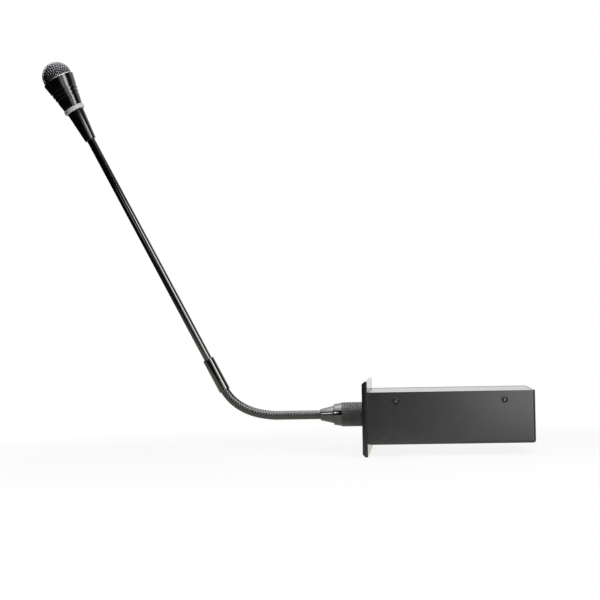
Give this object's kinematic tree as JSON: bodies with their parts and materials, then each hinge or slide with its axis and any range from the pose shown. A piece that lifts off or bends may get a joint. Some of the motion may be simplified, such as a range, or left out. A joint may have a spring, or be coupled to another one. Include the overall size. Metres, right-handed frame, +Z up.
{
  "type": "conference delegate unit",
  "caption": "Flush-mount conference delegate unit: black panel with talk key, sheet-metal chassis behind it and a plug-in gooseneck microphone with a light ring.",
  "frame": {"origin": "centre of the panel's back face, which seats on the furniture", "axes": "+X back along the chassis, away from the user; +Y across the panel; +Z up as pictured"},
  "size_m": [0.3912, 0.155, 0.3208],
  "materials": {
    "panel": "black anodised, fine satin grain",
    "chassis": "dark grey powder coat, fine texture",
    "black_screw": "black oxide",
    "steel": "plain nickel plate",
    "brass": "gold flash",
    "board": "green solder mask",
    "black_plastic": "fine satin moulding",
    "white_plastic": "natural nylon",
    "light_plastic": "milky translucent",
    "lead": "soft vinyl",
    "foam": "open-cell foam",
    "rubber": "moulded rubber",
    "cone_paper": "pressed paper",
    "nut": "gunmetal plate, knurled",
    "neck": "black wound wire",
    "gloss_black": "gloss black plate",
    "head_black": "gloss black paint",
    "grille": "black woven wire mesh"
  },
  "bodies": {
    "housing": {"front_panel": "panel", "chassis_tray": "chassis", "top_cover": "chassis", "cover_screws": "black_screw", "chassis_screws": "black_screw", "main_board": "board", "board_spacers": "steel", "board_screws": "steel", "board_parts": "black_plastic", "board_headers": "white_plastic", "line_jacks": "black_plastic", "jack_contacts": "brass", "key_lead": "lead", "socket_lead": "lead", "speaker_lead": "lead", "speaker_gasket": "foam", "speaker_frame": "steel", "speaker_cone": "cone_paper", "speaker_magnet": "steel", "panel_screws": "black_screw", "key_ring": "light_plastic", "key_board": "board", "key_posts": "steel", "key_screws": "steel", "key_lamps": "white_plastic", "key_switch": "black_plastic", "mic_socket": "steel", "socket_insert": "black_plastic", "socket_contacts": "brass"},
    "talk_key": {"talk_key": "black_plastic", "key_plunger": "white_plastic"},
    "mic_plug": {"plug_shell": "steel", "plug_insert": "black_plastic", "plug_pins": "brass", "neck_ferrule": "gloss_black", "neck_link_1": "neck"},
    "nut_washer": {"nut_washer": "white_plastic"},
    "coupling_nut": {"coupling_nut": "nut"},
    "neck_2": {"neck_link_2": "neck"},
    "neck_3": {"neck_link_3": "neck"},
    "neck_4": {"neck_link_4": "neck"},
    "neck_5": {"neck_link_5": "neck"},
    "neck_6": {"neck_link_6": "neck"},
    "neck_7": {"neck_link_7": "neck"},
    "neck_8": {"neck_link_8": "neck"},
    "neck_9": {"neck_link_9": "neck"},
    "neck_10": {"neck_link_10": "neck"},
    "neck_11": {"neck_link_11": "neck"},
    "neck_12": {"neck_link_12": "neck"},
    "mic_arm": {"neck_sleeve": "gloss_black", "stem_tube": "gloss_black", "mic_lead": "lead", "head_boot": "head_black", "light_ring": "light_plastic", "ring_board": "board", "head_body": "head_black", "capsule_mount": "rubber", "capsule": "steel", "foam_liner": "foam", "grille": "grille"}
  },
  "joints": [
    {"name": "talk_press", "type": "slide", "parent": "housing", "child": "talk_key", "axis": [1, 0, 0], "range_m": [0, 0.001], "stiffness_N_per_m": 600, "springref_m": -0.002},
    {"name": "mic_unplug", "type": "slide", "parent": "housing", "child": "mic_plug", "axis": [-1, 0, 0], "range_m": [0, 0.022]},
    {"name": "nut_back_off", "type": "slide", "parent": "mic_plug", "child": "nut_washer", "axis": [-1, 0, 0], "range_m": [0, 0.0025]},
    {"name": "nut_turn", "type": "hinge", "parent": "nut_washer", "child": "coupling_nut", "pos_m": [-0.015, 0.03, 0], "axis": [-1, 0, 0], "range_deg": [0, 900]},
    {"name": "neck_swing_1", "type": "hinge", "parent": "mic_plug", "child": "neck_2", "pos_m": [-0.04885, 0.03, 0], "axis": [0, 0, 1], "range_deg": [-15, 15]},
    {"name": "neck_swing_2", "type": "hinge", "parent": "neck_2", "child": "neck_3", "pos_m": [-0.05685, 0.03, 0], "axis": [0, 0, 1], "range_deg": [-15, 15]},
    {"name": "neck_swing_3", "type": "hinge", "parent": "neck_3", "child": "neck_4", "pos_m": [-0.06485, 0.03, 0], "axis": [0, 0, 1], "range_deg": [-15, 15]},
    {"name": "neck_swing_4", "type": "hinge", "parent": "neck_4", "child": "neck_5", "pos_m": [-0.07285, 0.03, 0], "axis": [0, 0, 1], "range_deg": [-15, 15]},
    {"name": "neck_bend_1", "type": "hinge", "parent": "neck_5", "child": "neck_6", "pos_m": [-0.0792, 0.03, 0], "axis": [0, 1, 0], "range_deg": [-15.75, 5]},
    {"name": "neck_bend_2", "type": "hinge", "parent": "neck_6", "child": "neck_7", "pos_m": [-0.08909, 0.03, 0.00136], "axis": [0, 1, 0], "range_deg": [-15.75, 5]},
    {"name": "neck_bend_3", "type": "hinge", "parent": "neck_7", "child": "neck_8", "pos_m": [-0.09643, 0.03, 0.00342], "axis": [0, 1, 0], "range_deg": [-15.75, 5]},
    {"name": "neck_bend_4", "type": "hinge", "parent": "neck_8", "child": "neck_9", "pos_m": [-0.10245, 0.03, 0.00604], "axis": [0, 1, 0], "range_deg": [-15.75, 5]},
    {"name": "neck_bend_5", "type": "hinge", "parent": "neck_9", "child": "neck_10", "pos_m": [-0.10749, 0.03, 0.00911], "axis": [0, 1, 0], "range_deg": [-15.75, 5]},
    {"name": "neck_bend_6", "type": "hinge", "parent": "neck_10", "child": "neck_11", "pos_m": [-0.11171, 0.03, 0.01255], "axis": [0, 1, 0], "range_deg": [-15.75, 5]},
    {"name": "neck_bend_7", "type": "hinge", "parent": "neck_11", "child": "neck_12", "pos_m": [-0.11518, 0.03, 0.01628], "axis": [0, 1, 0], "range_deg": [-15.75, 5]},
    {"name": "neck_bend_8", "type": "hinge", "parent": "neck_12", "child": "mic_arm", "pos_m": [-0.11796, 0.03, 0.02022], "axis": [0, 1, 0], "range_deg": [-15.75, 5]}
  ],
  "couplings": [
    {"joint": "nut_back_off", "follows": "nut_turn", "m_per_rad": 0.000159}
  ]
}
